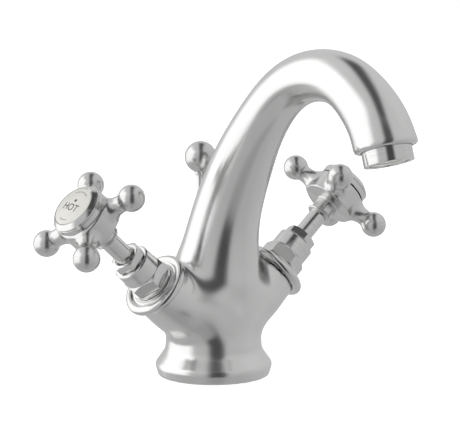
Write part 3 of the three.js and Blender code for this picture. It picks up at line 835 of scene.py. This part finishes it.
def cell_faces(values, number):
    """A quad across each grid edge that the surface crosses, facing out."""
    below = values < 0
    faces = []
    for axis in range(3):
        first = below.take(range(below.shape[axis] - 1), axis)
        second = below.take(range(1, below.shape[axis]), axis)
        for outwards, mask in ((True, first & ~second), (False, second & ~first)):
            edges = np.argwhere(mask)
            ring = []
            for du, dv in ((0, 0), (-1, 0), (-1, -1), (0, -1)):
                cell = edges.copy()
                cell[:, (axis + 1) % 3] += du
                cell[:, (axis + 2) % 3] += dv
                ring.append(number[tuple(cell.T)])
            quads = np.stack(ring, 1)
            faces.append(quads if outwards else quads[:, ::-1])
    return np.concatenate(faces)


def settled(field, points, rounds=3, reach=0.02):
    """The points moved onto the field's surface."""
    steps = np.eye(3) * reach
    for _ in range(rounds):
        value = in_parts(field, points)
        slope = np.stack([in_parts(field, points + s) - in_parts(field, points - s)
                          for s in steps], 1) / (2 * reach)
        points = points - (value / (slope ** 2).sum(1))[:, None] * slope
    return points


def field_shape(field, low, high, step):
    """Points and quads of a distance field's surface."""
    low = np.array(low, float)
    counts = np.ceil((np.array(high) - low) / (step * COARSE)).astype(int) * COARSE + 1
    values = grid_values(field, low, counts, step)
    points, number = cell_points(values, low, step)
    return settled(field, points), cell_faces(values, number)


# ---- body casting ---------------------------------------------------------------------
BODY_BOX = ((-46, -136, -2), (46, 30, 160))
BODY_STEP = 0.9
INSIDE_ARM = 20.0               # nearer the axis than this, an arm is brushed as the column


def body_brush(points):
    """Across and along the polishing: along the spout, or along an arm near its end."""
    t = nearest_on_spine(points)
    value, slope = SPINE.at(t)
    away = points[:, 1:] - value[:, :2]
    side = (away[:, 0] * -slope[:, 1] + away[:, 1] * slope[:, 0])
    angle = np.arctan2(side, points[:, 0])
    brush = np.stack([angle * value[:, 2], t, np.zeros(len(points))], 1)
    column = np.minimum(turned_distance(points, FOOT), spout_distance(points))
    near_arm = arms_distance(points) < column
    for side_name in SIDES:
        local = apply(VALVE[side_name].inverted(), points)
        on_arm = near_arm & (local[:, 2] > INSIDE_ARM)
        turn = np.arctan2(local[:, 1], local[:, 0]) * ARM_RADIUS
        brush[on_arm] = np.stack([turn, local[:, 2], np.zeros(len(points))], 1)[on_arm]
    return brush


def body_cutters():
    """The holes of the casting, as closed shapes in millimetres."""
    holes = [(OUTLET, AERATOR_RADIUS + GAP, -POCKET_DEPTH, PAST),
             (rod_place(), GUIDE_RADIUS + GAP, -PAST, ROD_HOLE_TOP),
             (Matrix.Translation((0, STUD_Y, 0)), STUD_RADIUS, -PAST, STUD_DEPTH)]
    for x in (-INLET_X, INLET_X):
        holes.append((Matrix.Translation((x, 0, 0)), INLET_RADIUS, -PAST, INLET_TOP))
    shapes = []
    for place, radius, low, high in holes:
        points, faces = turned_shape([(0, low), (radius, low), (radius, high), (0, high)], 64)
        shapes.append((apply(place, points), faces))
    inner, outer, top = GASKET_GROOVE
    groove = [(inner, -PAST), (outer, -PAST), (outer, top), (inner, top)]
    shapes.append(turned_shape(groove, closed=True))
    return shapes


def cut(piece, shapes):
    """Cuts closed shapes out of a piece and keeps the result as its mesh."""
    cutters = []
    for number, (points, faces) in enumerate(shapes):
        cutter = new_piece(f"cutter_{number}", points, faces, piece.data.materials[0])
        modifier = piece.modifiers.new("cut", "BOOLEAN")
        modifier.operation = "DIFFERENCE"
        modifier.solver = "EXACT"
        modifier.object = cutter
        cutters.append(cutter)
    done = bpy.data.meshes.new_from_object(
        piece.evaluated_get(bpy.context.evaluated_depsgraph_get()))
    piece.modifiers.clear()
    piece.data = done
    for cutter in cutters:
        bpy.data.objects.remove(cutter)
    done.polygons.foreach_set("use_smooth", [True] * len(done.polygons))
    done.set_sharp_from_angle(angle=math.radians(SHARP))


def make_body():
    points, faces = field_shape(body_distance, *BODY_BOX, BODY_STEP)
    piece = new_piece("cast_body", points, faces.tolist(), SATIN)
    store_brush(piece, body_brush(points))
    cut(piece, body_cutters())
    finish_piece(piece, "body", "satin_nickel", "body_casting")


# ---- handles --------------------------------------------------------------------------
CROSS_BOX = ((-32, -32, -15), (32, 32, 9))
CROSS_STEP = 0.4


def cross_arm_outline():
    start = BALL_START - math.degrees(math.acos(NECK_RADIUS / BALL_RADIUS))
    ball = arc(0, CROSS_ARM, BALL_RADIUS, start, 90, 24)
    return [(0, 0), (CROSS_ARM_RADIUS, 0)] + NECK + ball


def drum_outline():
    corners = [(0, DRUM_BOTTOM), (DRUM_RADIUS, DRUM_BOTTOM),
               (DRUM_RADIUS, DRUM_TOP - DRUM_BEVEL), (DRUM_RADIUS - DRUM_BEVEL, DRUM_TOP),
               (0, DRUM_TOP)]
    return rounded(corners, 0.5)


def collar_outline():
    ring = COLLAR_RADIUS + COLLAR_RING
    inside_drum = DRUM_BOTTOM + 1
    corners = [(0, COLLAR_START), (COLLAR_RADIUS + 0.3, COLLAR_START),
               (ring, COLLAR_START + 0.5), (ring, COLLAR_START + 1.1),
               (COLLAR_RADIUS, COLLAR_START + 1.6), (COLLAR_RADIUS, inside_drum)]
    return rounded(corners, 0.3) + [(0, inside_drum)]


CROSS_ARM_OUTLINE = cross_arm_outline()
DRUM_OUTLINE = drum_outline()
COLLAR_OUTLINE = collar_outline()


def cross_distance(points):
    """One quarter of the crosshead, folded onto all four."""
    level = np.abs(points[:, :2])
    along = level.max(1)
    across = level.min(1)
    arm = turned_distance(np.stack([across, points[:, 2], along], 1), CROSS_ARM_OUTLINE)
    body = smooth_min(turned_distance(points, DRUM_OUTLINE), arm, CROSS_ARM_BLEND)
    return smooth_min(body, turned_distance(points, COLLAR_OUTLINE), COLLAR_BLEND)


def cross_brush(points):
    """The grain of a crosshead runs along its local X."""
    return np.stack([points[:, 2] * 1.5, points[:, 0] * 0.3, points[:, 1] * 1.5], 1)


def make_handle(side, shape):
    turn = Matrix.Rotation(math.radians(SIDES[side]["cross"]), 4, "Z")
    place = VALVE[side] @ turn @ Matrix.Translation((0, 0, CROSS))
    body = f"{side}_handle"
    points, faces = shape
    cross = new_piece(f"{side}_crosshead", apply(place, points), faces.tolist(), HANDLE,
                      CROSS_SHARP)
    store_brush(cross, cross_brush(points))
    finish_piece(cross, body, "satin_nickel", f"{side}_handle_cross")
    make_bezel(side, place, body)
    make_index(side, place, body)
    make_stem(side, body)


def make_bezel(side, place, body):
    roof, seat = BEZEL_SEAT
    groove = [(BEZEL_RADIUS, 2.5), (BEZEL_RADIUS - 0.3, 2.65), (BEZEL_RADIUS - 0.3, 2.85),
              (BEZEL_RADIUS, 3.0)]
    corners = [(BEZEL_RECESS, 0), (BEZEL_RADIUS, 0)] + groove + [
        (BEZEL_RADIUS, 3.6), (INDEX_RADIUS + 0.5, 5.5), (INDEX_RADIUS + GAP, 5.4),
        (INDEX_RADIUS + GAP, seat)]
    rows = [(0, roof), (BEZEL_RECESS, roof)] + rounded(corners, 0.12) + [(0, seat)]
    rows = [(radius, BEZEL_BOTTOM + height) for radius, height in rows]
    piece = turned_piece(f"{side}_bezel", rows, place, POLISHED)
    finish_piece(piece, body, "polished_nickel", f"{side}_index_bezel")


def dome_height(radius):
    return INDEX_RIM + INDEX_DOME * (1 - (radius / INDEX_RADIUS) ** 2)


def make_index(side, place, body):
    reaches = INDEX_RADIUS * np.sin(np.linspace(math.pi / 2, 0, 16))
    dome = [(reach, dome_height(reach)) for reach in reaches]
    rows = [(0, INDEX_BOTTOM), (INDEX_RADIUS, INDEX_BOTTOM)] + dome
    piece = turned_piece(f"{side}_index", rows, place, CERAMIC)
    finish_piece(piece, body, "white_ceramic", f"{side}_index_disc")
    make_mark(side, place, body)


def word_shape(word):
    """Points and faces of a thin raised word, a little below the middle of its disc."""
    curve = bpy.data.curves.new("word", "FONT")
    curve.body = word
    curve.align_x = "CENTER"
    curve.align_y = "CENTER"
    curve.size = WORD_SIZE
    curve.extrude = PRINT_DEPTH
    text = bpy.data.objects.new("word", curve)
    bpy.context.scene.collection.objects.link(text)
    mesh = bpy.data.meshes.new_from_object(
        text.evaluated_get(bpy.context.evaluated_depsgraph_get()))
    bpy.data.objects.remove(text)
    points = np.array([v.co for v in mesh.vertices]) + WORD_PLACE
    faces = [tuple(p.vertices) for p in mesh.polygons]
    bpy.data.meshes.remove(mesh)
    return points, faces


def dot_shapes():
    """A larger dot over the word, and small ones in an arc above and below both."""
    spots = [(0, 2.7, 0.75)]
    for middle, count in ((90, 9), (270, 5)):
        for number in range(count):
            angle = math.radians(middle + (number - (count - 1) / 2) * DOT_STEP)
            spots.append((DOT_REACH * math.cos(angle), DOT_REACH * math.sin(angle), 0.26))
    shapes = []
    for x, y, radius in spots:
        rows = [(0, -PRINT_DEPTH), (radius, -PRINT_DEPTH), (radius, PRINT_DEPTH), (0, PRINT_DEPTH)]
        points, faces = turned_shape(rows, 16)
        shapes.append((points + (x, y, 0), faces))
    return shapes


def make_mark(side, place, body):
    """The print on the index disc: its word and its dots, laid on the dome."""
    points = np.zeros((0, 3))
    faces = []
    for more, rings in [word_shape(SIDES[side]["mark"])] + dot_shapes():
        faces += [tuple(corner + len(points) for corner in ring) for ring in rings]
        points = np.concatenate([points, more])
    points[:, 2] += dome_height(np.hypot(points[:, 0], points[:, 1]))
    print_turn = Matrix.Rotation(math.radians(PRINT_TURN), 4, "Z")
    piece = new_piece(f"{side}_mark", apply(place @ print_turn, points), faces, ENAMEL)
    finish_piece(piece, body, "white_ceramic")


def make_stem(side, body):
    top = CROSS - 0.5
    rows = [(0, STEM_BOTTOM), (STEM_RADIUS, STEM_BOTTOM), (STEM_RADIUS, top), (0, top)]
    piece = turned_piece(f"{side}_stem", rows, VALVE[side], POLISHED, 64)
    finish_piece(piece, body, "polished_nickel", f"{side}_spindle")


# ---- valves ---------------------------------------------------------------------------
HEX_SIDES = 96


def hex_radius(flats):
    """Radius of a hexagon at each side's angle, with its first corner at the first."""
    angles = np.arange(HEX_SIDES) * 360 / HEX_SIDES
    return flats / 2 / np.cos(np.radians(angles % 60 - 30))


def hex_rows(flats, bottom, top, chamfer, free):
    """Rows of a hexagon whose corners are turned off at its top outside the free radius."""
    radius = hex_radius(flats)
    drop = np.maximum(radius - free, 0) * chamfer
    return [(radius, bottom), (radius, top - drop), (np.minimum(radius, free), top)]


def make_flange(side):
    """A ring with a round rim, a dished face and a low step round the headgear."""
    bead = arc(BEAD_REACH, BEAD_HEIGHT, BEAD_RADIUS, -90, 120, 22)
    face = rounded([(12.6, 48.0), (11.9, 47.4), (11.0, 47.4), (10.6, 48.6),
                    (FLANGE_BORE, 48.6)], 0.5)
    rows = [(FLANGE_BORE, FLANGE_BOTTOM), (12.8, FLANGE_BOTTOM)] + bead + face
    piece = turned_piece(f"{side}_flange", rows, VALVE[side], POLISHED, closed=True)
    finish_piece(piece, "body", "satin_nickel", f"{side}_valve_flange")


def bevel(piece, width):
    modifier = piece.modifiers.new("edges", "BEVEL")
    modifier.width = width * MM
    modifier.segments = 2
    modifier.limit_method = "ANGLE"
    modifier.angle_limit = math.radians(30)


def make_bonnet(side):
    rows = [(0, THREAD_BOTTOM), (THREAD_RADIUS, THREAD_BOTTOM), (THREAD_RADIUS, SKIRT_BOTTOM)]
    rows += rounded([(THREAD_RADIUS, SKIRT_BOTTOM), (SKIRT_RADIUS, SKIRT_BOTTOM),
                     (SKIRT_RADIUS, HEX_BOTTOM - GAP), (BONNET_RADIUS, HEX_BOTTOM)], 0.25)[1:]
    rows += hex_rows(HEX_FLATS, HEX_BOTTOM, HEX_TOP, HEX_CHAMFER, BONNET_RADIUS)
    rows += rounded([(BONNET_RADIUS, HEX_TOP), (BONNET_RADIUS, BONNET_TOP - 0.7),
                     (BONNET_RADIUS - 0.7, BONNET_TOP), (0, BONNET_TOP)], 0.3)[1:]
    piece = turned_piece(f"{side}_bonnet", rows, VALVE[side], POLISHED, HEX_SIDES,
                         SIDES[side]["hex"])
    bevel(piece, HEX_EDGE)
    finish_piece(piece, "body", "polished_nickel", f"{side}_headgear")


def make_nut(side):
    rows = [(0, GLAND_BOTTOM), (GLAND_RADIUS, GLAND_BOTTOM), (GLAND_RADIUS, NUT_BOTTOM)]
    rows += hex_rows(NUT_FLATS, NUT_BOTTOM, NUT_TOP, NUT_CHAMFER, NUT_FLATS / 2 - 0.05)
    rows += [(STEM_RADIUS + GAP + NUT_DISH, NUT_TOP), (STEM_RADIUS + GAP, NUT_TOP - NUT_DISH),
             (STEM_RADIUS + GAP, NUT_TOP - 3), (0, NUT_TOP - 3)]
    piece = turned_piece(f"{side}_nut", rows, VALVE[side], POLISHED, HEX_SIDES,
                         SIDES[side]["nut"])
    bevel(piece, NUT_EDGE)
    finish_piece(piece, "body", "polished_nickel", f"{side}_gland_nut")


# ---- lift rod -------------------------------------------------------------------------
def make_knob():
    start = -math.degrees(math.acos(KNOB_NECK / KNOB_RADIUS))
    foot = KNOB_HEIGHT - KNOB_RADIUS - 1.1
    rows = [(0, foot), (KNOB_NECK - 0.4, foot), (KNOB_NECK, foot + 0.4)]
    rows += arc(0, KNOB_HEIGHT, KNOB_RADIUS, start, 90, 40)
    piece = turned_piece("knob", rows, rod_place(), HANDLE)
    finish_piece(piece, "lift_rod", "polished_nickel", "lift_knob")


def make_rod():
    low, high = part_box("lift_rod")
    bottom, top = low.z / MM, high.z / MM
    collar = GUIDE_TOP + GAP
    side = rounded([(ROD_RADIUS, bottom), (ROD_RADIUS, collar), (ROD_RADIUS + 1, collar),
                    (ROD_RADIUS + 1, collar + ROD_COLLAR),
                    (ROD_RADIUS, collar + ROD_COLLAR + 0.4), (ROD_RADIUS, top)], 0.25)
    rows = [(0, bottom)] + side + [(0, top)]
    piece = turned_piece("rod", rows, rod_place(), POLISHED, 48)
    finish_piece(piece, "lift_rod", "polished_nickel", "lift_rod")


def make_guide():
    low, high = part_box("rod_guide")
    inner = ROD_RADIUS + GAP
    rows = rounded([(inner, low.z / MM), (GUIDE_RADIUS, low.z / MM),
                    (GUIDE_RADIUS, high.z / MM), (inner, high.z / MM)], 0.6)
    piece = turned_piece("guide", rows, rod_place(), POLISHED, 64, closed=True)
    finish_piece(piece, "body", "turned_brass", "rod_guide")


# ---- aerator --------------------------------------------------------------------------
def make_aerator():
    bore = AERATOR_RADIUS - AERATOR_WALL
    inner, ledge = bore - AERATOR_LIP[0], AERATOR_END - AERATOR_LIP[1]
    rows = rounded([(bore, AERATOR_START), (AERATOR_RADIUS, AERATOR_START),
                    (AERATOR_RADIUS, AERATOR_END), (inner, AERATOR_END), (inner, ledge),
                    (bore, ledge)], 0.3)
    piece = turned_piece("aerator", rows, OUTLET, POLISHED, closed=True)
    finish_piece(piece, "body", "polished_nickel", "aerator_housing")


# ---- carried-over nodes ---------------------------------------------------------------
def dress_frame():
    """Every CAD node that stays gets the detailed material of its slot."""
    slots = {part["node"]: part["material_slot"] for part in frame["record"]["subparts"]}
    for name, node in frame["nodes"].items():
        node.data.materials.clear()
        node.data.materials.append(BY_SLOT[slots[name]])


dress_frame()
make_body()
crosshead = field_shape(cross_distance, *CROSS_BOX, CROSS_STEP)
for side_name in SIDES:
    make_flange(side_name)
    make_bonnet(side_name)
    make_nut(side_name)
    make_handle(side_name, crosshead)
make_knob()
make_rod()
make_guide()
make_aerator()
